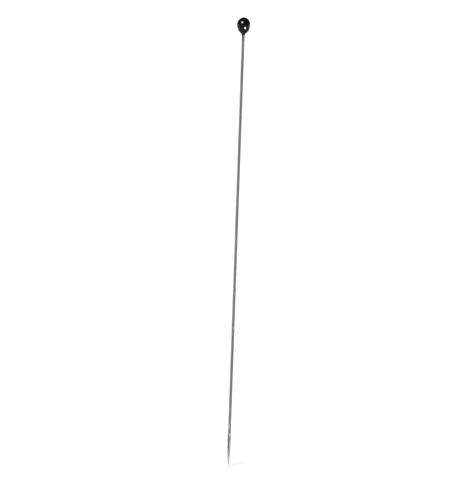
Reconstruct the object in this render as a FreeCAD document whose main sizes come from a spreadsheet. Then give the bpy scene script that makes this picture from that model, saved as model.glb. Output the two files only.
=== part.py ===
import FreeCAD, Part
import math
import os
import Sketcher

# An insect pin: a straight drawn wire, ground to a point at one end, with a drop-shaped plastic head
# moulded over the other. Millimetres and degrees. The wire runs up +Z, and the origin is the very tip.

SIZES = {
    "pin_length": 38.0,  # from the tip to the top of the head
    "wire_diameter": 0.25,
    "point_length": 2.4,  # stretch of wire that is ground down to the tip
    "tip_radius": 0.01,  # rounding that grinding leaves at the very tip
    "grinding_allowance": 0.25,  # blank that stands past the tip before it is ground
    "wheel_clearance": 0.10,  # how far the grinding cut reaches past the blank
    "end_spread": 0.02,  # how far the cut end is spread on each side, so that the head can't pull off
    "end_chamfer": 0.025,  # edge of the cut end, freed of its burr
    "crown_cover": 0.60,  # plastic between the cut end and the top of the head
    "head_diameter": 1.08,
    "crown_height": 0.58,  # from the widest circle up to the top
    "shoulder_rise": 0.33,  # how strongly the crown starts upwards at the widest circle
    "crown_spread": 0.27,  # how broadly the crown rounds off at the top
    "tail_length": 0.93,  # from the widest circle down to the lip, where the head ends on the wire
    "neck_radius": 0.28,  # hollow curve that leads the belly on to the wire
    "lip_thickness": 0.012,  # film of plastic that is left at the lip
}

START, END, CENTRE = range(1, 4)
HORIZONTAL_AXIS, VERTICAL_AXIS = -1, -2
ORIGIN = (HORIZONTAL_AXIS, START)
FULL_TURN = 360.0


def point(x, y):
    return FreeCAD.Vector(x, y, 0)


def line(first, last):
    return Part.LineSegment(point(*first), point(*last))


def arc(centre, radius, first_angle, last_angle):
    """Part of a circle, anticlockwise, with its angles in radians."""
    circle = Part.Circle(point(*centre), FreeCAD.Vector(0, 0, 1), radius)
    return Part.ArcOfCircle(circle, first_angle, last_angle)


def write_sheet(doc):
    sheet = doc.addObject("Spreadsheet::Sheet", "Sizes")
    for row, (name, value) in enumerate(SIZES.items(), start=1):
        sheet.set(f"A{row}", name.replace("_", " "))
        sheet.set(f"B{row}", str(value))
        sheet.setAlias(f"B{row}", name)
    doc.recompute()


def new_body(doc, name):
    body = doc.addObject("PartDesign::Body", name)
    body.Label = name
    return body


def new_sketch(body, name, plane_role):
    sketch = body.newObject("Sketcher::SketchObject", name)
    plane = next(item for item in body.Origin.OriginFeatures if item.Role == plane_role)
    sketch.AttachmentSupport = [(plane, "")]
    sketch.MapMode = "FlatFace"
    return sketch


def constrain(sketch, kind, *places):
    return sketch.addConstraint(Sketcher.Constraint(kind, *places))


def join(sketch, *lines):
    """Each line's end is the next one's start."""
    for first, second in zip(lines, lines[1:]):
        constrain(sketch, "Coincident", first, END, second, START)


def as_drawn(sketch, kind, places):
    if kind == "Radius":
        return sketch.Geometry[places[0]].Radius
    reach = sketch.getPoint(*places[2:]) - sketch.getPoint(*places[:2])
    return reach.x if kind == "DistanceX" else reach.y


def dimension(sketch, name, kind, places, expression):
    """A named dimension, first at the size that is drawn and then tied to the sheet."""
    index = constrain(sketch, kind, *places, as_drawn(sketch, kind, places))
    sketch.renameConstraint(index, name)
    sketch.setExpression(f"Constraints.{name}", expression)


def turn(body, kind, name, sketch):
    """A revolved feature, all the way round the sketch's upright axis."""
    feature = body.newObject(kind, name)
    feature.Profile = sketch
    feature.ReferenceAxis = (sketch, ["V_Axis"])
    feature.Angle = FULL_TURN
    return feature


def check_cut(feature, before):
    if not feature.Shape.Volume < before.Shape.Volume:
        raise RuntimeError(f"{feature.Label} took nothing off {before.Label}")


def steel_shaft(doc):
    """Wire from below the tip up to the head, its spread end inside the head, and its ground point."""
    body = new_body(doc, "steel_shaft")

    section = new_sketch(body, "wire_section", "XY_Plane")
    section.setExpression("AttachmentOffset.Base.z", "-Sizes.grinding_allowance")
    circle = Part.Circle(point(0, 0), FreeCAD.Vector(0, 0, 1), SIZES["wire_diameter"] / 2)
    section.addGeometry(circle)
    constrain(section, "Coincident", 0, CENTRE, *ORIGIN)
    dimension(section, "wire_radius", "Radius", (0,), "Sizes.wire_diameter / 2")

    blank = body.newObject("PartDesign::Pad", "wire_blank")
    blank.Profile = section
    blank.setExpression(
        "Length",
        "Sizes.pin_length - Sizes.crown_height - Sizes.tail_length + Sizes.grinding_allowance",
    )
    doc.recompute()

    end_outline = new_sketch(body, "end_outline", "XZ_Plane")
    draw_end_outline(end_outline)
    turn(body, "PartDesign::Revolution", "spread_end", end_outline)
    doc.recompute()
    whole_wire = body.Tip

    point_outline = new_sketch(body, "point_outline", "XZ_Plane")
    draw_point_outline(point_outline)
    ground = turn(body, "PartDesign::Groove", "ground_point", point_outline)
    doc.recompute()
    check_cut(ground, whole_wire)

    cut_end = body.newObject("PartDesign::Chamfer", "cut_end")
    cut_end.Base = (ground, [top_edge_name(ground.Shape)])
    cut_end.setExpression("Size", "Sizes.end_chamfer")
    doc.recompute()
    check_cut(cut_end, ground)
    body.Tip = cut_end
    return body


def draw_end_outline(sketch):
    """Half the section of the wire's end from the head's lip up, where it widens to its cut end."""
    wire_radius = SIZES["wire_diameter"] / 2
    end_radius = wire_radius + SIZES["end_spread"]
    end_height = SIZES["pin_length"] - SIZES["crown_cover"]
    lip_height = SIZES["pin_length"] - SIZES["crown_height"] - SIZES["tail_length"]

    bottom, side, top, axis = range(4)
    sketch.addGeometry([
        line((0, lip_height), (wire_radius, lip_height)),
        line((wire_radius, lip_height), (end_radius, end_height)),
        line((end_radius, end_height), (0, end_height)),
        line((0, end_height), (0, lip_height)),
    ])
    join(sketch, bottom, side, top, axis, bottom)
    constrain(sketch, "Horizontal", bottom)
    constrain(sketch, "Horizontal", top)
    constrain(sketch, "PointOnObject", bottom, START, VERTICAL_AXIS)
    constrain(sketch, "PointOnObject", top, END, VERTICAL_AXIS)
    dimension(sketch, "wire_radius", "DistanceX", (*ORIGIN, side, START), "Sizes.wire_diameter / 2")
    dimension(
        sketch, "end_radius", "DistanceX", (*ORIGIN, side, END),
        "Sizes.wire_diameter / 2 + Sizes.end_spread",
    )
    dimension(
        sketch, "lip_height", "DistanceY", (*ORIGIN, side, START),
        "Sizes.pin_length - Sizes.crown_height - Sizes.tail_length",
    )
    dimension(
        sketch, "end_height", "DistanceY", (*ORIGIN, side, END), "Sizes.pin_length - Sizes.crown_cover",
    )


def top_edge_name(shape):
    """Name of the circle round the highest flat end of a shape."""
    heights = [edge.BoundBox.ZMin for edge in shape.Edges]
    return f"Edge{heights.index(max(heights)) + 1}"


def draw_point_outline(sketch):
    """What is ground away: all outside the rounded tip and the long curve that widens to the wire."""
    wire_radius = SIZES["wire_diameter"] / 2
    tip_radius = SIZES["tip_radius"]
    length = SIZES["point_length"]
    above_tip = length - tip_radius
    taper_radius = (wire_radius**2 + above_tip**2 - tip_radius**2) / (2 * (wire_radius - tip_radius))
    meet_angle = -math.atan2(above_tip, taper_radius - wire_radius)
    outside = wire_radius + SIZES["wheel_clearance"]
    below = -SIZES["grinding_allowance"] - SIZES["wheel_clearance"]

    tip, taper, top, side, bottom, axis = range(6)
    sketch.addGeometry([
        arc((0, tip_radius), tip_radius, -math.pi / 2, meet_angle),
        arc((wire_radius - taper_radius, length), taper_radius, meet_angle, 0),
        line((wire_radius, length), (outside, length)),
        line((outside, length), (outside, below)),
        line((outside, below), (0, below)),
        line((0, below), (0, 0)),
    ])
    constrain(sketch, "Tangent", tip, END, taper, START)
    join(sketch, taper, top, side, bottom, axis, tip)
    constrain(sketch, "Coincident", tip, START, *ORIGIN)
    constrain(sketch, "PointOnObject", tip, CENTRE, VERTICAL_AXIS)
    constrain(sketch, "Horizontal", taper, CENTRE, taper, END)
    constrain(sketch, "Horizontal", top)
    constrain(sketch, "Vertical", side)
    constrain(sketch, "Horizontal", bottom)
    constrain(sketch, "Vertical", axis)
    dimension(sketch, "tip_radius", "Radius", (tip,), "Sizes.tip_radius")
    dimension(sketch, "wire_radius", "DistanceX", (*ORIGIN, taper, END), "Sizes.wire_diameter / 2")
    dimension(sketch, "point_length", "DistanceY", (*ORIGIN, taper, END), "Sizes.point_length")
    dimension(sketch, "past_wire", "DistanceX", (taper, END, top, END), "Sizes.wheel_clearance")
    dimension(
        sketch, "past_blank", "DistanceY", (axis, START, *ORIGIN),
        "Sizes.grinding_allowance + Sizes.wheel_clearance",
    )


def bead_head(doc, wire):
    """The drop of plastic, turned about the wire, with the seat that the wire leaves in it."""
    body = new_body(doc, "bead_head")

    outline = new_sketch(body, "drop_outline", "XZ_Plane")
    outline.setExpression("AttachmentOffset.Base.y", "Sizes.pin_length - Sizes.crown_height")
    draw_drop_outline(outline)
    drop = turn(body, "PartDesign::Revolution", "drop", outline)
    doc.recompute()

    wire_copy = body.newObject("PartDesign::SubShapeBinder", "wire_copy")
    wire_copy.Support = [(wire, ("",))]
    seat = body.newObject("PartDesign::Boolean", "wire_seat")
    seat.Type = "Cut"
    seat.setObjects([wire_copy])
    doc.recompute()
    check_cut(seat, drop)
    body.Tip = seat
    return body


def draw_drop_outline(sketch):
    """Half the section of the head without its seat, with the widest circle on the horizontal axis.

    The crown is one smooth curve, upright where it starts and level at the top. The belly is an arc that
    hangs upright from the same circle, and runs smoothly on into the hollow arc of the neck.
    """
    widest = SIZES["head_diameter"] / 2
    crown_top = SIZES["crown_height"]
    shoulder_rise = SIZES["shoulder_rise"]
    crown_spread = SIZES["crown_spread"]
    tail = SIZES["tail_length"]
    neck = SIZES["neck_radius"]
    lip_radius = SIZES["wire_diameter"] / 2 + SIZES["lip_thickness"]

    narrowing = widest - lip_radius
    belly = (tail**2 + narrowing**2) / (2 * narrowing) - neck
    neck_angle = math.asin(tail / (belly + neck))

    crown_poles = [(widest, 0), (widest, shoulder_rise), (crown_spread, crown_top), (0, crown_top)]
    crown_curve = Part.BSplineCurve()
    crown_curve.buildFromPolesMultsKnots([point(*pole) for pole in crown_poles], [4, 4], [0, 1], False, 3)
    crown = sketch.addGeometry(crown_curve)
    sketch.exposeInternalGeometry(crown)
    shoulder_handle, top_handle = crown + 2, crown + 3

    belly_arc = sketch.addGeometry(arc((widest - belly, 0), belly, -neck_angle, 0))
    neck_arc = sketch.addGeometry(arc((lip_radius + neck, -tail), neck, math.pi - neck_angle, math.pi))
    lip_line = sketch.addGeometry(line((lip_radius, -tail), (0, -tail)))
    axis_line = sketch.addGeometry(line((0, -tail), (0, crown_top)))

    constrain(sketch, "Coincident", crown, START, belly_arc, END)
    constrain(sketch, "Tangent", belly_arc, START, neck_arc, START)
    join(sketch, neck_arc, lip_line, axis_line)
    constrain(sketch, "Coincident", axis_line, END, crown, END)
    constrain(sketch, "PointOnObject", crown, START, HORIZONTAL_AXIS)
    constrain(sketch, "PointOnObject", crown, END, VERTICAL_AXIS)
    constrain(sketch, "Vertical", crown, START, shoulder_handle, CENTRE)
    constrain(sketch, "Horizontal", crown, END, top_handle, CENTRE)
    constrain(sketch, "PointOnObject", belly_arc, CENTRE, HORIZONTAL_AXIS)
    constrain(sketch, "Horizontal", neck_arc, CENTRE, neck_arc, END)
    constrain(sketch, "Horizontal", lip_line)
    constrain(sketch, "PointOnObject", lip_line, END, VERTICAL_AXIS)

    dimension(sketch, "head_radius", "DistanceX", (*ORIGIN, crown, START), "Sizes.head_diameter / 2")
    dimension(sketch, "crown_height", "DistanceY", (*ORIGIN, crown, END), "Sizes.crown_height")
    dimension(
        sketch, "shoulder_rise", "DistanceY", (*ORIGIN, shoulder_handle, CENTRE), "Sizes.shoulder_rise",
    )
    dimension(sketch, "crown_spread", "DistanceX", (*ORIGIN, top_handle, CENTRE), "Sizes.crown_spread")
    dimension(sketch, "tail_length", "DistanceY", (lip_line, END, *ORIGIN), "Sizes.tail_length")
    dimension(sketch, "neck_radius", "Radius", (neck_arc,), "Sizes.neck_radius")
    dimension(
        sketch, "lip_radius", "DistanceX", (*ORIGIN, lip_line, START),
        "Sizes.wire_diameter / 2 + Sizes.lip_thickness",
    )


def check_document(doc, bodies):
    """Stops at any object that failed to compute, or any piece that isn't one sound solid."""
    for item in doc.Objects:
        if "Invalid" in item.State or "Error" in item.State:
            raise RuntimeError(f"{item.Label} failed: {item.State}")
    for body in bodies:
        shape = body.Shape
        if shape.isNull() or not shape.isValid() or len(shape.Solids) != 1:
            raise RuntimeError(f"{body.Label} is not one valid solid")


def main():
    doc = FreeCAD.newDocument("insect_pin")
    write_sheet(doc)
    shaft = steel_shaft(doc)
    head = bead_head(doc, shaft)
    doc.recompute()
    check_document(doc, [shaft, head])
    os.makedirs("parts", exist_ok=True)
    for body in (shaft, head):
        box = body.Shape.optimalBoundingBox(False, False)
        body.Shape.exportStep(f"parts/{body.Label}.step")
        print(f"{body.Label}: {body.Shape.Volume:.4f} mm3, z {box.ZMin:.4f} to {box.ZMax:.4f}")


main()
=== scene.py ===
import math

import bmesh
import bpy
from bpy.props import FloatProperty, FloatVectorProperty, IntProperty, PointerProperty
from mathutils import Matrix, Vector, noise


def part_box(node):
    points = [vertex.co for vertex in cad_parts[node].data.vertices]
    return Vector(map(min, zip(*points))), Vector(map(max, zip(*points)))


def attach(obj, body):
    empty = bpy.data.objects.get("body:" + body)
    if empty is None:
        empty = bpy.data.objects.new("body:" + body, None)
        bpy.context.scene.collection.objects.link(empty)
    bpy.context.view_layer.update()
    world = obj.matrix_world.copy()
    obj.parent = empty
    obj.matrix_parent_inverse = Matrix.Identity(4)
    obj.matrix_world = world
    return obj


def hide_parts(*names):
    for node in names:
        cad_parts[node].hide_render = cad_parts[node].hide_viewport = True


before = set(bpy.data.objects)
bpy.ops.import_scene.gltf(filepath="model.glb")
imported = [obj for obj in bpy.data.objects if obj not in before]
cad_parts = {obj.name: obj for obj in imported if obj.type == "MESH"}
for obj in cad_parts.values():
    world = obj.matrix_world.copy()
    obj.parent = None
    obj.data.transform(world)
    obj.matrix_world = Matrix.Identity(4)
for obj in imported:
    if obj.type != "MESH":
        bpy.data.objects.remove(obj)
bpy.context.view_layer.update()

bl_info = {
    "name": "Insect Pin",
    "version": (1, 0, 0),
    "blender": (4, 5, 0),
    "location": "3D View > Sidebar > Insect Pin",
    "description": "Dresses an insect pin: its drawn steel wire, its moulded head and the studio round it",
    "category": "Object",
}

# Lengths are in metres, in the frame's own axes: +Z runs up the wire, and the tip stands on the origin.
MM = 0.001
_, SHAFT_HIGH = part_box("steel_shaft")
HEAD_LOW, HEAD_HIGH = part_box("bead_head")

# Place in the noise from which the unevenness of the head's skin is taken
SEED = 7

# Nearly all of a noise texture's values lie between these two.
NOISE_LOW = 0.3
NOISE_HIGH = 0.7

# Directions are seen from the head. +X is to the camera's right and +Y away from it.
SIDE_LIGHT = (-0.42, -0.60, 0.68)
FRONT_LIGHT = (0.437, -0.754, -0.490)
CARD = (-0.50, -0.60, -0.62)
PAPER = (-0.2, 1.0, 0.0)

# The side light's width is an angle. The other two have a half width, as a part of their distance.
SIDE_LIGHT_WIDTH = math.radians(36)
FRONT_LIGHT_REACH = 0.235
CARD_REACH = 0.17

# The floor is a disc, and the camera sees it whole. A sensor is measured in millimetres, as a lens is.
FLOOR_RADIUS = 1.5
CAMERA_REACH = 10.0
SENSOR_HEIGHT_MM = 36.0


def linear(hex_colour):
    """An sRGB colour such as #D6D4D2 as the linear RGBA that Blender's sockets take."""
    parts = [int(hex_colour[place:place + 2], 16) / 255 for place in (1, 3, 5)]
    return (*[c / 12.92 if c <= 0.04045 else ((c + 0.055) / 1.055) ** 2.4 for c in parts], 1.0)


def add_node(tree, kind, inputs=None, **settings):
    """Adds a node with its settings. Each of its inputs takes a link, where it is a socket, or a value."""
    node = tree.nodes.new(kind)
    for name, value in settings.items():
        setattr(node, name, value)
    for place, value in (inputs or {}).items():
        if isinstance(value, bpy.types.NodeSocket):
            tree.links.new(value, node.inputs[place])
        else:
            node.inputs[place].default_value = value
    return node


def spaced(first, last, count):
    """Evenly spaced numbers, as many as count says, from the first one up to but without the last."""
    return [first + (last - first) * step / count for step in range(count)]


# Sizes and colours


class WireSettings(bpy.types.PropertyGroup):
    diameter: FloatProperty(
        name="Diameter", description="Width of the straight wire",
        default=0.25 * MM, min=0.05 * MM, unit="LENGTH", precision=5,
    )
    point_length: FloatProperty(
        name="Point", description="Stretch of wire that is ground down to the tip",
        default=2.4 * MM, min=0.1 * MM, unit="LENGTH", precision=5,
    )
    tip_radius: FloatProperty(
        name="Tip radius", description="Rounding that grinding leaves at the very tip",
        default=0.01 * MM, min=0.001 * MM, unit="LENGTH", precision=6,
    )
    end_spread: FloatProperty(
        name="End spread", description="How far the cut end is spread on each side, inside the head",
        default=0.02 * MM, min=0.0, unit="LENGTH", precision=6,
    )
    end_chamfer: FloatProperty(
        name="End chamfer", description="Edge of the cut end, freed of its burr",
        default=0.025 * MM, min=0.0, unit="LENGTH", precision=6,
    )
    sides: IntProperty(
        name="Sides", description="Number of faces round the wire", default=64, min=12, max=128,
    )
    colour: FloatVectorProperty(
        name="Steel", description="Colour of the bright drawn steel", subtype="COLOR", size=4,
        min=0.0, max=1.0, default=linear("#D6D4D2"),
    )
    shade: FloatVectorProperty(
        name="Steel in its darker bands", description="Colour where the drawing die left the wire duller",
        subtype="COLOR", size=4, min=0.0, max=1.0, default=linear("#B0ADAB"),
    )
    ground: FloatVectorProperty(
        name="Ground steel", description="Colour of the point, which the wheel left dull", subtype="COLOR",
        size=4, min=0.0, max=1.0, default=linear("#7C7A78"),
    )


class HeadSettings(bpy.types.PropertyGroup):
    diameter: FloatProperty(
        name="Diameter", description="Width of the head at its widest circle",
        default=1.08 * MM, min=0.3 * MM, unit="LENGTH", precision=5,
    )
    crown_height: FloatProperty(
        name="Crown height", description="From the widest circle up to the top",
        default=0.58 * MM, min=0.1 * MM, unit="LENGTH", precision=5,
    )
    shoulder_rise: FloatProperty(
        name="Shoulder rise", description="How strongly the crown starts upwards at the widest circle",
        default=0.33 * MM, min=0.05 * MM, unit="LENGTH", precision=5,
    )
    crown_spread: FloatProperty(
        name="Crown spread", description="How broadly the crown rounds off at the top",
        default=0.27 * MM, min=0.05 * MM, unit="LENGTH", precision=5,
    )
    neck_radius: FloatProperty(
        name="Neck radius", description="Hollow curve that leads the belly on to the wire",
        default=0.28 * MM, min=0.02 * MM, unit="LENGTH", precision=5,
    )
    lip_thickness: FloatProperty(
        name="Lip", description="Film of plastic that ends the head on the wire",
        default=0.012 * MM, min=0.002 * MM, unit="LENGTH", precision=6,
    )
    skew: FloatProperty(
        name="Skew", description="How far the crown and the belly lean to one side, as moulded",
        default=0.016 * MM, min=0.0, unit="LENGTH", precision=6,
    )
    fullness: FloatProperty(
        name="Fullness", description="How far the belly swells beyond its plain arc, as moulded",
        default=0.012 * MM, min=0.0, unit="LENGTH", precision=6,
    )
    sides: IntProperty(
        name="Sides", description="Number of faces round the head", default=96, min=24, max=160,
    )
    colour: FloatVectorProperty(
        name="Plastic", description="Colour of the black plastic", subtype="COLOR", size=4,
        min=0.0, max=1.0, default=linear("#050506"),
    )


class StudioSettings(bpy.types.PropertyGroup):
    camera_height: FloatProperty(
        name="Camera height", description="How far above the horizon the camera looks from",
        default=math.radians(15), subtype="ANGLE",
    )
    lean: FloatProperty(
        name="Lean", description="How far the pin leans to the right in the picture",
        default=math.radians(2), subtype="ANGLE",
    )
    lens: FloatProperty(
        name="Lens", description="Focal length of the camera", default=600.0, min=20.0, unit="CAMERA",
    )
    picture_height: FloatProperty(
        name="Picture height", description="Height of what the picture takes in",
        default=39.8 * MM, min=1 * MM, unit="LENGTH", precision=4,
    )
    side_light: FloatProperty(
        name="Side light", description="Brightness of the soft light high on the left",
        default=14.0, min=0.0,
    )
    front_light: FloatProperty(
        name="Front light", description="Brightness of the soft light low in front",
        default=31.0, min=0.0,
    )
    room_light: FloatProperty(
        name="Room light", description="Even light from all round on what isn't glossy",
        default=0.25, min=0.0,
    )
    room_shine: FloatProperty(
        name="Room shine", description="Brightness of the dim room in the gloss", default=0.07, min=0.0,
    )
    paper_shine: FloatProperty(
        name="Paper shine", description="Brightness of the paper behind in the gloss", default=0.84, min=0.0,
    )
    table_shine: FloatProperty(
        name="Table shine", description="Brightness of the table below the horizon in the gloss",
        default=0.30, min=0.0,
    )
    card_shine: FloatProperty(
        name="Card shine", description="Brightness of the card low on the left in the gloss",
        default=1.0, min=0.0,
    )
    floor_colour: FloatVectorProperty(
        name="Floor", description="Colour of the pale floor", subtype="COLOR", size=4,
        min=0.0, max=1.0, default=linear("#F3F3F2"),
    )


# Materials


def drawn_stainless_steel(wire):
    """Stainless steel wire, drawn through a die, with its point ground on a wheel.

    Drawing leaves the wire bright and slightly warm grey. The eye gets faint lines along it, duller and
    brighter bands that change every few millimetres, and a dull grey point with the rings of the wheel.
    """
    material = bpy.data.materials.new("drawn_stainless_steel")
    material.use_nodes = True
    tree = material.node_tree
    tree.nodes.clear()
    place = add_node(tree, "ShaderNodeTexCoord").outputs["Object"]
    height = add_node(tree, "ShaderNodeSeparateXYZ", {0: place}).outputs["Z"]

    # Real die lines lie 5 to 20 micrometres apart. They are drawn 0.07 mm wide here, so that they show, and
    # about 30 times as long.
    line_width = 0.07 * MM
    along = add_node(tree, "ShaderNodeMapping", {"Vector": place, "Scale": (1, 1, 0.03)}).outputs[0]
    lines = add_node(
        tree, "ShaderNodeTexNoise",
        {"Vector": along, "Scale": 1 / line_width, "Detail": 2.0, "Roughness": 0.6},
    ).outputs["Fac"]

    # The bands change along the wire only, about every 2.5 mm.
    band_length = 2.5 * MM
    across = add_node(tree, "ShaderNodeMapping", {"Vector": place, "Scale": (0.1, 0.1, 1)}).outputs[0]
    bands = add_node(
        tree, "ShaderNodeTexNoise",
        {"Vector": across, "Scale": 1 / band_length, "Detail": 1.5, "Roughness": 0.5},
    ).outputs["Fac"]

    # The wheel's rings are 0.02 mm apart on a real point. They are drawn 0.12 mm apart, so that they show.
    # At a scale of 1, Blender's wave texture turns by 20 radians a metre.
    ring_spacing = 0.12 * MM
    turn_per_metre = 20
    rings = add_node(
        tree, "ShaderNodeTexWave",
        {
            "Vector": place, "Scale": 2 * math.pi / (turn_per_metre * ring_spacing), "Distortion": 1.2,
            "Detail": 2.0, "Detail Scale": 2.0,
        },
        bands_direction="Z",
    ).outputs["Fac"]

    # The dull point runs out raggedly, because the wheel leaves the bright wire at a flat angle.
    raggedness = 0.8 * MM
    bright_from = wire.point_length + 0.15 * MM
    dull_below = wire.point_length - 0.10 * MM
    ragged = add_node(
        tree, "ShaderNodeMath", {0: lines, 1: -raggedness, 2: height}, operation="MULTIPLY_ADD",
    ).outputs[0]
    on_point = add_node(
        tree, "ShaderNodeMapRange",
        {"Value": ragged, "From Min": dull_below, "From Max": bright_from, "To Min": 1.0, "To Max": 0.0},
        interpolation_type="SMOOTHSTEP",
    ).outputs[0]

    # Both the bands and the lines shift the bright steel towards its darker colour, by these parts.
    dullest_band = 0.6
    palest_line, darkest_line = -0.10, 0.12
    dull = add_node(
        tree, "ShaderNodeMapRange",
        {"Value": bands, "From Min": 0.35, "From Max": 0.68, "To Min": 0.0, "To Max": dullest_band},
    ).outputs[0]
    streak = add_node(
        tree, "ShaderNodeMapRange",
        {
            "Value": lines, "From Min": NOISE_LOW, "From Max": NOISE_HIGH,
            "To Min": palest_line, "To Max": darkest_line,
        },
    ).outputs[0]

    # The wire's colour is darker just below the head's lip. It fades out 0.8 mm below it.
    darkening_foot = HEAD_LOW.z - 0.8 * MM
    darkening_top = HEAD_LOW.z - 0.1 * MM
    below_lip_darkening = add_node(
        tree, "ShaderNodeMapRange",
        {"Value": height, "From Min": darkening_foot, "From Max": darkening_top, "To Min": 0.0, "To Max": 0.9},
        interpolation_type="SMOOTHSTEP",
    ).outputs[0]
    tone = add_node(tree, "ShaderNodeMath", {0: dull, 1: streak}, operation="ADD").outputs[0]
    tone = add_node(tree, "ShaderNodeMath", {0: tone, 1: below_lip_darkening}, operation="ADD", use_clamp=True).outputs[0]
    colour = add_node(
        tree, "ShaderNodeMix", {0: tone, 6: tuple(wire.colour), 7: tuple(wire.shade)}, data_type="RGBA",
    ).outputs[2]
    colour = add_node(
        tree, "ShaderNodeMix", {0: on_point, 6: colour, 7: tuple(wire.ground)}, data_type="RGBA",
    ).outputs[2]

    # The bright wire is nearly a mirror. The wheel leaves the point rougher, with rings that are deeper
    # than the lines.
    added_by_wheel = 0.36
    ring_depth = 5.0
    line_depth = 0.0008 * MM
    roughness = add_node(
        tree, "ShaderNodeMapRange",
        {"Value": lines, "From Min": NOISE_LOW, "From Max": NOISE_HIGH, "To Min": 0.05, "To Max": 0.10},
    ).outputs[0]
    rougher_point = add_node(
        tree, "ShaderNodeMath", {0: on_point, 1: added_by_wheel, 2: roughness}, operation="MULTIPLY_ADD",
    ).outputs[0]
    ring_mark = add_node(tree, "ShaderNodeMath", {0: rings, 1: on_point}, operation="MULTIPLY").outputs[0]
    relief = add_node(
        tree, "ShaderNodeMath", {0: ring_mark, 1: ring_depth, 2: lines}, operation="MULTIPLY_ADD",
    ).outputs[0]
    bump = add_node(
        tree, "ShaderNodeBump", {"Strength": 0.2, "Distance": line_depth, "Height": relief},
    ).outputs[0]
    steel = add_node(
        tree, "ShaderNodeBsdfPrincipled",
        {"Base Color": colour, "Metallic": 1.0, "Roughness": rougher_point, "Normal": bump},
    )
    add_node(tree, "ShaderNodeOutputMaterial", {"Surface": steel.outputs[0]})
    return material


def moulded_black_nylon(head):
    """Black nylon, moulded over the wire and polished by the mould.

    The eye gets a nearly black, wet-looking gloss. Lamps stand in it as small sharp lights, and a slow
    unevenness of the skin bends them a little.
    """
    material = bpy.data.materials.new("moulded_black_nylon")
    material.use_nodes = True
    tree = material.node_tree
    tree.nodes.clear()
    place = add_node(tree, "ShaderNodeTexCoord").outputs["Object"]

    # Cooling leaves sink marks about 0.4 mm across.
    sink_width = 0.4 * MM
    sinks = add_node(
        tree, "ShaderNodeTexNoise",
        {"Vector": place, "Scale": 1 / sink_width, "Detail": 1.0, "Roughness": 0.4},
    ).outputs["Fac"]

    # The polished mould has a grain of about 5 micrometres. It is drawn 0.05 mm wide, so that it shows.
    grain_width = 0.05 * MM
    grain = add_node(
        tree, "ShaderNodeTexNoise",
        {"Vector": place, "Scale": 1 / grain_width, "Detail": 2.0, "Roughness": 0.55},
    ).outputs["Fac"]
    roughness = add_node(
        tree, "ShaderNodeMapRange",
        {"Value": grain, "From Min": NOISE_LOW, "From Max": NOISE_HIGH, "To Min": 0.05, "To Max": 0.10},
    ).outputs[0]
    depth_of_black = add_node(
        tree, "ShaderNodeMapRange",
        {"Value": sinks, "From Min": NOISE_LOW, "From Max": NOISE_HIGH, "To Min": 0.7, "To Max": 1.3},
    ).outputs[0]
    colour = add_node(
        tree, "ShaderNodeVectorMath", {0: tuple(head.colour)[:3], "Scale": depth_of_black},
        operation="SCALE",
    ).outputs[0]

    # The sink marks are up to 0.008 mm deep, and the grain is a small part of that.
    sink_depth = 0.008 * MM
    grain_share = 0.03
    relief = add_node(
        tree, "ShaderNodeMath", {0: grain, 1: grain_share, 2: sinks}, operation="MULTIPLY_ADD",
    ).outputs[0]
    bump = add_node(
        tree, "ShaderNodeBump", {"Strength": 0.6, "Distance": sink_depth, "Height": relief},
    ).outputs[0]
    plastic = add_node(
        tree, "ShaderNodeBsdfPrincipled",
        {"Base Color": colour, "Roughness": roughness, "IOR": 1.5, "Normal": bump},
    )
    add_node(tree, "ShaderNodeOutputMaterial", {"Surface": plastic.outputs[0]})
    return material


def pale_paper(colour):
    """Matt white paper. The eye gets an even white that runs into the background, with soft shadows.

    What the camera sees of it is lifted to the white of the background, which adds no light to the pin.
    """
    material = bpy.data.materials.new("matt_white_paper")
    material.use_nodes = True
    tree = material.node_tree
    tree.nodes.clear()
    place = add_node(tree, "ShaderNodeTexCoord").outputs["Object"]
    fibre_spacing = 0.6 * MM
    fibres = add_node(
        tree, "ShaderNodeTexNoise", {"Vector": place, "Scale": 1 / fibre_spacing, "Detail": 3.0},
    ).outputs["Fac"]
    bump = add_node(
        tree, "ShaderNodeBump", {"Strength": 0.1, "Distance": 0.01 * MM, "Height": fibres},
    ).outputs[0]
    paper = add_node(
        tree, "ShaderNodeBsdfPrincipled",
        {"Base Color": tuple(colour), "Roughness": 0.9, "Normal": bump, "Specular IOR Level": 0.1},
    ).outputs[0]
    missing_white = 0.08
    seen = add_node(tree, "ShaderNodeLightPath").outputs["Is Camera Ray"]
    lift = add_node(tree, "ShaderNodeMath", {0: seen, 1: missing_white}, operation="MULTIPLY").outputs[0]
    glow = add_node(tree, "ShaderNodeEmission", {"Strength": lift}).outputs[0]
    both = add_node(tree, "ShaderNodeAddShader", {0: paper, 1: glow}).outputs[0]
    add_node(tree, "ShaderNodeOutputMaterial", {"Surface": both})
    return material


# Drawn wire


def wire_stations(wire, lip, end):
    """Heights on the wire's axis where a ring is needed: close at the tip, wider on the straight.

    With them come the radius of the long arc to which the point is ground, and the height at which that
    arc meets the rounded tip.
    """
    tip_rings, point_rings, straight_rings, hidden_rings = 12, 56, 68, 6
    crowding = 1.6
    half = wire.diameter / 2
    above_tip = wire.point_length - wire.tip_radius
    taper = (half**2 + above_tip**2 - wire.tip_radius**2) / (2 * (half - wire.tip_radius))
    rise = above_tip / (taper - wire.tip_radius)
    meet = wire.tip_radius * (1 - rise)

    # The first ring is a flat 2.5 micrometres across, so that the tip closes without a needle of faces.
    first = 0.125
    steepest = math.acos(rise)
    heights = [wire.tip_radius * (1 - math.cos(turn)) for turn in spaced(first, steepest, tip_rings)]
    heights += [
        meet + (wire.point_length - meet) * (ring / point_rings)**crowding for ring in range(point_rings)
    ]
    heights += spaced(wire.point_length, lip, straight_rings)
    heights += spaced(lip, end - wire.end_chamfer, hidden_rings)
    heights += [end - wire.end_chamfer, end]
    return heights, taper, meet


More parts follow.
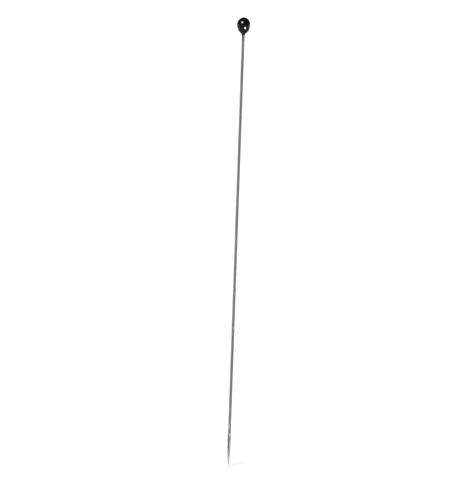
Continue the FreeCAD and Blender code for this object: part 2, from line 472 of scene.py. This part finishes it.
def wire_tree(material):
    """Node tree that gives a path its wire: a radius by rule for each height, and a round section."""
    tree = bpy.data.node_groups.new("drawn_wire", "GeometryNodeTree")
    tree.is_modifier = True
    tree.interface.new_socket("Path", in_out="INPUT", socket_type="NodeSocketGeometry")
    sizes = (
        "Wire Radius", "Point Length", "Tip Radius", "Taper Radius", "Tip Ends At",
        "Lip Height", "End Height", "End Spread", "End Chamfer",
    )
    for name in sizes:
        socket = tree.interface.new_socket(name, in_out="INPUT", socket_type="NodeSocketFloat")
        socket.subtype = "DISTANCE"
    tree.interface.new_socket("Sides", in_out="INPUT", socket_type="NodeSocketInt")
    tree.interface.new_socket("Wire", in_out="OUTPUT", socket_type="NodeSocketGeometry")
    given = add_node(tree, "NodeGroupInput").outputs
    position = add_node(tree, "GeometryNodeInputPosition").outputs[0]
    height = add_node(tree, "ShaderNodeSeparateXYZ", {0: position}).outputs["Z"]
    spread = add_node(
        tree, "ShaderNodeMapRange",
        {
            "Value": height, "From Min": given["Lip Height"], "From Max": given["End Height"],
            "To Min": 0.0, "To Max": given["End Spread"],
        },
    ).outputs[0]

    # The radius at each height. A step takes the tree's inputs and the steps before it by name.
    steps = (
        # The rounded tip is a ball that stands on the origin.
        ("ball width", "MULTIPLY", "Tip Radius", 2.0),
        ("ball above", "SUBTRACT", "ball width", "height"),
        ("ball square", "MULTIPLY", "ball above", "height"),
        ("ball inside", "MAXIMUM", "ball square", 0.0),
        ("tip", "SQRT", "ball inside"),
        # The ground point is a long arc that ends upright on the straight wire.
        ("below wire", "SUBTRACT", "Point Length", "height"),
        ("along point", "MAXIMUM", "below wire", 0.0),
        ("along square", "MULTIPLY", "along point", "along point"),
        ("taper square", "MULTIPLY", "Taper Radius", "Taper Radius"),
        ("across square", "SUBTRACT", "taper square", "along square"),
        ("across", "SQRT", "across square"),
        ("taper centre", "SUBTRACT", "Wire Radius", "Taper Radius"),
        ("taper", "ADD", "taper centre", "across"),
        # The end widens a little from the head's lip up, and its edge is chamfered.
        ("shank", "ADD", "taper", "spread"),
        ("end radius", "ADD", "Wire Radius", "End Spread"),
        ("chamfer start", "SUBTRACT", "end radius", "End Chamfer"),
        ("below end", "SUBTRACT", "End Height", "height"),
        ("chamfer", "ADD", "chamfer start", "below end"),
        ("body", "MINIMUM", "shank", "chamfer"),
        ("on tip", "LESS_THAN", "height", "Tip Ends At"),
    )
    values = {name: given[name] for name in sizes}
    values.update({"height": height, "spread": spread})
    for name, operation, *terms in steps:
        inputs = {place: values.get(term, term) for place, term in enumerate(terms)}
        values[name] = add_node(
            tree, "ShaderNodeMath", inputs, operation=operation, label=name,
        ).outputs[0]
    radius = add_node(
        tree, "GeometryNodeSwitch",
        {"Switch": values["on tip"], "False": values["body"], "True": values["tip"]}, input_type="FLOAT",
    ).outputs[0]

    path = add_node(tree, "GeometryNodeMeshToCurve", {0: given["Path"]}).outputs[0]
    path = add_node(tree, "GeometryNodeSetCurveRadius", {"Curve": path, "Radius": radius}).outputs[0]
    section = add_node(
        tree, "GeometryNodeCurvePrimitiveCircle", {"Resolution": given["Sides"], "Radius": 1.0},
    ).outputs[0]
    skin = add_node(
        tree, "GeometryNodeCurveToMesh", {"Curve": path, "Profile Curve": section, "Fill Caps": True},
    )
    if "Scale" in skin.inputs:
        tree.links.new(radius, skin.inputs["Scale"])
    whole = add_node(tree, "GeometryNodeRealizeInstances", {0: skin.outputs[0]}).outputs[0]
    dressed = add_node(
        tree, "GeometryNodeSetMaterial", {"Geometry": whole, "Material": material},
    ).outputs[0]
    add_node(tree, "NodeGroupOutput", {0: dressed})
    return tree


def face_outwards(mesh):
    """Turns a closed mesh so that its faces point out of it."""
    work = bmesh.new()
    work.from_mesh(mesh)
    bmesh.ops.recalc_face_normals(work, faces=work.faces)
    if work.calc_volume(signed=True) < 0:
        bmesh.ops.reverse_faces(work, faces=work.faces)
    work.to_mesh(mesh)
    work.free()


def shade_smooth(mesh, sharp_angle):
    """Smooth shading, with edges that turn by more than the angle, in degrees, left sharp."""
    mesh.shade_smooth()
    mesh.set_sharp_from_angle(angle=math.radians(sharp_angle))


def new_piece(context, name, mesh, node):
    """Puts a finished mesh in the scene as one piece that rides with the frame and stands for its node."""
    piece = bpy.data.objects.new(name, mesh)
    context.scene.collection.objects.link(piece)
    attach(piece, "root")
    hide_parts(node)
    return piece


class PIN_OT_draw_wire(bpy.types.Operator):
    """Draw the steel wire from its ground point up to its spread end inside the head"""

    bl_idname = "insect_pin.draw_wire"
    bl_label = "Draw Wire"

    def execute(self, context):
        wire = context.scene.pin_wire
        lip = HEAD_LOW.z
        end = SHAFT_HIGH.z
        heights, taper, meet = wire_stations(wire, lip, end)

        path = bpy.data.meshes.new("wire_path")
        path.from_pydata(
            [(0, 0, height) for height in heights],
            [(step, step + 1) for step in range(len(heights) - 1)],
            [],
        )
        host = bpy.data.objects.new("wire_path", path)
        context.scene.collection.objects.link(host)
        tree = wire_tree(drawn_stainless_steel(wire))
        modifier = host.modifiers.new("wire", "NODES")
        modifier.node_group = tree
        sizes = {
            "Wire Radius": wire.diameter / 2, "Point Length": wire.point_length,
            "Tip Radius": wire.tip_radius, "Taper Radius": taper, "Tip Ends At": meet,
            "Lip Height": lip, "End Height": end, "End Spread": wire.end_spread,
            "End Chamfer": wire.end_chamfer, "Sides": wire.sides,
        }
        for socket in tree.interface.items_tree:
            if socket.name in sizes:
                modifier[socket.identifier] = sizes[socket.name]

        depsgraph = context.evaluated_depsgraph_get()
        mesh = bpy.data.meshes.new_from_object(host.evaluated_get(depsgraph), depsgraph=depsgraph)
        host.modifiers.clear()
        bpy.data.objects.remove(host)
        if not mesh.polygons:
            raise RuntimeError("the wire's node tree made no faces")
        mesh.name = "drawn_wire"
        face_outwards(mesh)
        shade_smooth(mesh, 20)
        new_piece(context, "drawn_wire", mesh, "steel_shaft")
        return {"FINISHED"}


# Moulded head


def head_outline(head, wire):
    """The head's section as (radius, height) points: down its skin from the top, and up the wire's seat."""
    crown_points, belly_points, neck_points = 44, 36, 24
    top = HEAD_HIGH.z
    lip = HEAD_LOW.z
    seat_top = SHAFT_HIGH.z
    widest = head.diameter / 2
    level = top - head.crown_height
    tail = level - lip
    lip_radius = wire.diameter / 2 + head.lip_thickness
    narrowing = widest - lip_radius
    belly = (tail**2 + narrowing**2) / (2 * narrowing) - head.neck_radius
    neck_turn = math.asin(tail / (belly + head.neck_radius))

    handles = (
        (0.0, top), (head.crown_spread, top), (widest, level + head.shoulder_rise), (widest, level),
    )
    skin = []
    for share in spaced(0, 1, crown_points):
        weights = ((1 - share)**3, 3 * share * (1 - share)**2, 3 * share**2 * (1 - share), share**3)
        skin.append((
            sum(weight * handle[0] for weight, handle in zip(weights, handles)),
            sum(weight * handle[1] for weight, handle in zip(weights, handles)),
        ))
    for turn in spaced(0, neck_turn, belly_points):
        skin.append((widest - belly * (1 - math.cos(turn)), level - belly * math.sin(turn)))
    for turn in spaced(neck_turn, 0, neck_points):
        skin.append((
            lip_radius + head.neck_radius * (1 - math.cos(turn)),
            lip + head.neck_radius * math.sin(turn),
        ))

    # The lip loses a third of its thickness at its outer edge. The seat follows the wire.
    edge = head.lip_thickness / 3
    skin.append((lip_radius, lip + edge))
    half = wire.diameter / 2
    end_radius = half + wire.end_spread
    share_of_spread = 1 - wire.end_chamfer / (seat_top - lip)
    seat = [
        (lip_radius - edge, lip),
        (half, lip),
        (half + wire.end_spread * share_of_spread, seat_top - wire.end_chamfer),
        (end_radius - wire.end_chamfer, seat_top),
        (0.0, seat_top),
    ]
    return skin, seat


def as_moulded(place, head, level):
    """Gives a point of the skin the small faults of a real moulding, all within the head's true size.

    The crown and the belly lean to one side of the widest circle, the belly is a little fuller than a
    plain arc, and the skin is slightly uneven.
    """
    hollow_width = 0.9 * MM
    hollow_depth = 0.004 * MM
    crown = max(place.z - level, 0.0) / head.crown_height
    belly = math.sin(math.pi * max(level - place.z, 0.0) / (level - HEAD_LOW.z))
    swell = noise.noise(place / hollow_width + Vector((0, 0, SEED))) * hollow_depth
    outwards = Vector((place.x, place.y, 0)).normalized()
    sideways = Vector((head.skew * (crown**2 + belly**2), 0, 0))
    return place + outwards * (min(swell - hollow_depth, 0.0) + head.fullness * belly**2) + sideways


def lathe(points, sides):
    """Turns an outline that starts and ends on the axis into a closed mesh, with one point at each pole."""
    work = bmesh.new()
    rings = []
    for radius, height in points:
        if radius == 0.0:
            rings.append([work.verts.new((0, 0, height))])
            continue
        rings.append([
            work.verts.new((
                radius * math.cos(2 * math.pi * side / sides),
                radius * math.sin(2 * math.pi * side / sides),
                height,
            ))
            for side in range(sides)
        ])
    for upper, lower in zip(rings, rings[1:]):
        for side in range(sides):
            ahead = (side + 1) % sides
            if len(upper) == 1:
                corners = (upper[0], lower[side], lower[ahead])
            elif len(lower) == 1:
                corners = (upper[side], lower[0], upper[ahead])
            else:
                corners = (upper[side], lower[side], lower[ahead], upper[ahead])
            work.faces.new(corners)
    return work, rings


class PIN_OT_mould_head(bpy.types.Operator):
    """Mould the black drop-shaped head over the wire"""

    bl_idname = "insect_pin.mould_head"
    bl_label = "Mould Head"

    def execute(self, context):
        head = context.scene.pin_head
        wire = context.scene.pin_wire
        skin, seat = head_outline(head, wire)
        work, rings = lathe(skin + seat, head.sides)
        level = HEAD_HIGH.z - head.crown_height
        for ring in rings[:len(skin)]:
            for corner in ring:
                corner.co = as_moulded(corner.co.copy(), head, level)
        mesh = bpy.data.meshes.new("moulded_head")
        work.to_mesh(mesh)
        work.free()
        face_outwards(mesh)
        shade_smooth(mesh, 35)
        mesh.materials.append(moulded_black_nylon(head))
        new_piece(context, "moulded_head", mesh, "bead_head")
        return {"FINISHED"}


# Studio


def aim(from_place, to_place, roll=0.0):
    """Turn of a lamp or camera that looks from one place to another, with a roll about its own view."""
    looking = (to_place - from_place).to_track_quat("-Z", "Y").to_matrix().to_4x4()
    return Matrix.Translation(from_place) @ looking @ Matrix.Rotation(roll, 4, "Z")


def far_lamp(context, name, direction, width, brightness):
    """A round soft light, far off. Brightness is what gloss shows of it, where 1 is white."""
    lamp = bpy.data.lights.new(name, "SUN")
    lamp.angle = width
    lamp.energy = brightness * math.pi * math.sin(width / 2)**2
    light = bpy.data.objects.new(name, lamp)
    light.matrix_world = aim(Vector(direction), Vector())
    context.scene.collection.objects.link(light)


def soft_patch(tree, direction, middle, reach, brightness):
    """What the gloss sees of a soft light or a card: even, a little wider than tall, with a soft edge."""
    flatter = (1.0, 1.0, 1.5)
    edge = 0.1
    away = add_node(
        tree, "ShaderNodeVectorMath", {0: direction, 1: middle}, operation="SUBTRACT",
    ).outputs[0]
    squashed = add_node(tree, "ShaderNodeVectorMath", {0: away, 1: flatter}, operation="MULTIPLY").outputs[0]
    distance = add_node(tree, "ShaderNodeVectorMath", {0: squashed}, operation="LENGTH").outputs["Value"]
    return add_node(
        tree, "ShaderNodeMapRange",
        {
            "Value": distance, "From Min": (1 + edge) * reach, "From Max": (1 - edge) * reach,
            "To Min": 0.0, "To Max": brightness,
        },
        interpolation_type="SMOOTHSTEP",
    ).outputs[0]


def light_room(context, studio):
    """World: white to the camera, even light on what is matt, and what stands round the pin for the gloss.

    Gloss sees the dim room above the horizon, the table below it, and the white paper that stands
    behind the pin. Round wire then has a dark middle and pale sides. Rise is a direction's height, which
    is 0 on the horizon and -1 straight down.
    """
    world = bpy.data.worlds.new("studio_room")
    context.scene.world = world
    world.use_nodes = True
    tree = world.node_tree
    tree.nodes.clear()
    direction = add_node(tree, "ShaderNodeTexCoord").outputs["Generated"]
    rise = add_node(tree, "ShaderNodeSeparateXYZ", {0: direction}).outputs["Z"]

    room_ends, table_starts = 0.10, -0.20
    gloss = add_node(
        tree, "ShaderNodeMapRange",
        {
            "Value": rise, "From Min": room_ends, "From Max": table_starts,
            "To Min": studio.room_shine, "To Max": studio.table_shine,
        },
        interpolation_type="SMOOTHSTEP",
    ).outputs[0]

    # The paper stands behind in two halves with a gap between them, so that the wire shows a darker middle
    # from behind too. Its lower edge is lost in the shade round the pin's foot. All its edges are soft.
    paper_starts, paper_full = -0.45, 0.75
    gap_starts, gap_full, left_in_gap = 0.62, 0.92, 0.15
    top_starts, top_full = -0.02, -0.22
    foot_starts, foot_full = -0.64, -0.32
    backwards = add_node(
        tree, "ShaderNodeVectorMath", {0: direction, 1: PAPER}, operation="DOT_PRODUCT",
    ).outputs["Value"]
    behind = add_node(
        tree, "ShaderNodeMapRange",
        {
            "Value": backwards, "From Min": paper_starts, "From Max": paper_full,
            "To Min": 0.0, "To Max": studio.paper_shine,
        },
        interpolation_type="SMOOTHSTEP",
    ).outputs[0]
    beside_gap = add_node(
        tree, "ShaderNodeMapRange",
        {
            "Value": backwards, "From Min": gap_starts, "From Max": gap_full,
            "To Min": 1.0, "To Max": left_in_gap,
        },
        interpolation_type="SMOOTHSTEP",
    ).outputs[0]
    below_top = add_node(
        tree, "ShaderNodeMapRange", {"Value": rise, "From Min": top_starts, "From Max": top_full},
        interpolation_type="SMOOTHSTEP",
    ).outputs[0]
    above_foot = add_node(
        tree, "ShaderNodeMapRange", {"Value": rise, "From Min": foot_starts, "From Max": foot_full},
        interpolation_type="SMOOTHSTEP",
    ).outputs[0]
    paper = add_node(
        tree, "ShaderNodeMath", {0: below_top, 1: above_foot}, operation="MULTIPLY",
    ).outputs[0]
    paper = add_node(tree, "ShaderNodeMath", {0: paper, 1: beside_gap}, operation="MULTIPLY").outputs[0]
    gloss = add_node(
        tree, "ShaderNodeMath", {0: paper, 1: behind, 2: gloss}, operation="MULTIPLY_ADD",
    ).outputs[0]

    # A soft light and a white card stand low in front. The light stays below what the wire mirrors.
    light = soft_patch(tree, direction, FRONT_LIGHT, FRONT_LIGHT_REACH, studio.front_light)
    card = soft_patch(tree, direction, CARD, CARD_REACH, studio.card_shine)
    for patch in (light, card):
        gloss = add_node(tree, "ShaderNodeMath", {0: gloss, 1: patch}, operation="ADD").outputs[0]

    ray = add_node(tree, "ShaderNodeLightPath").outputs
    plain = add_node(
        tree, "ShaderNodeMath", {0: ray["Is Camera Ray"], 1: ray["Is Transmission Ray"]},
        operation="MAXIMUM",
    ).outputs[0]
    unseen = add_node(
        tree, "ShaderNodeMix", {0: ray["Is Glossy Ray"], 2: studio.room_light, 3: gloss}, data_type="FLOAT",
    ).outputs[0]
    strength = add_node(tree, "ShaderNodeMix", {0: plain, 2: unseen, 3: 1.0}, data_type="FLOAT").outputs[0]
    background = add_node(tree, "ShaderNodeBackground", {"Color": (1, 1, 1, 1), "Strength": strength})
    add_node(tree, "ShaderNodeOutputWorld", {"Surface": background.outputs[0]})


class PIN_OT_set_studio(bpy.types.Operator):
    """Set up the pale floor, the soft lights, the white room and the camera"""

    bl_idname = "insect_pin.set_studio"
    bl_label = "Set Up Studio"

    def execute(self, context):
        studio = context.scene.pin_studio
        floor_mesh = bpy.data.meshes.new("paper_floor")
        work = bmesh.new()
        bmesh.ops.create_circle(work, cap_ends=True, segments=96, radius=FLOOR_RADIUS)
        work.to_mesh(floor_mesh)
        work.free()
        floor_mesh.materials.append(pale_paper(studio.floor_colour))
        floor = bpy.data.objects.new("paper_floor", floor_mesh)
        # The gloss sees the world's room in its place, and nothing lies under it to be shaded.
        floor.visible_glossy = False
        floor.visible_shadow = False
        context.scene.collection.objects.link(floor)

        far_lamp(context, "side_light", SIDE_LIGHT, SIDE_LIGHT_WIDTH, studio.side_light)
        light_room(context, studio)

        lens = bpy.data.cameras.new("camera")
        lens.lens = studio.lens
        lens.sensor_fit = "VERTICAL"
        lens.sensor_height = SENSOR_HEIGHT_MM
        lens.clip_start = 1 * MM
        lens.clip_end = CAMERA_REACH
        distance = studio.picture_height * lens.lens / lens.sensor_height
        middle = Vector((0, 0, HEAD_HIGH.z / 2))
        back = Vector((0, -math.cos(studio.camera_height), math.sin(studio.camera_height)))
        camera = bpy.data.objects.new("camera", lens)
        camera.matrix_world = aim(middle + back * distance, middle, studio.lean)
        context.scene.collection.objects.link(camera)
        context.scene.camera = camera
        context.scene.view_settings.view_transform = "Standard"
        return {"FINISHED"}


# Panel


class PIN_PT_panel(bpy.types.Panel):
    bl_label = "Insect Pin"
    bl_idname = "PIN_PT_panel"
    bl_space_type = "VIEW_3D"
    bl_region_type = "UI"
    bl_category = "Insect Pin"

    def draw(self, context):
        scene = context.scene
        groups = (
            (scene.pin_wire, PIN_OT_draw_wire), (scene.pin_head, PIN_OT_mould_head),
            (scene.pin_studio, PIN_OT_set_studio),
        )
        for settings, operator in groups:
            box = self.layout.box()
            for name in settings.bl_rna.properties.keys():
                if name not in {"rna_type", "name"}:
                    box.prop(settings, name)
            box.operator(operator.bl_idname)


CLASSES = (
    WireSettings, HeadSettings, StudioSettings,
    PIN_OT_draw_wire, PIN_OT_mould_head, PIN_OT_set_studio, PIN_PT_panel,
)


def register():
    for item in CLASSES:
        bpy.utils.register_class(item)
    bpy.types.Scene.pin_wire = PointerProperty(type=WireSettings)
    bpy.types.Scene.pin_head = PointerProperty(type=HeadSettings)
    bpy.types.Scene.pin_studio = PointerProperty(type=StudioSettings)


def unregister():
    del bpy.types.Scene.pin_studio
    del bpy.types.Scene.pin_head
    del bpy.types.Scene.pin_wire
    for item in reversed(CLASSES):
        bpy.utils.unregister_class(item)


def main():
    register()
    bpy.ops.insect_pin.draw_wire()
    bpy.ops.insect_pin.mould_head()
    bpy.ops.insect_pin.set_studio()


if __name__ == "__main__":
    main()
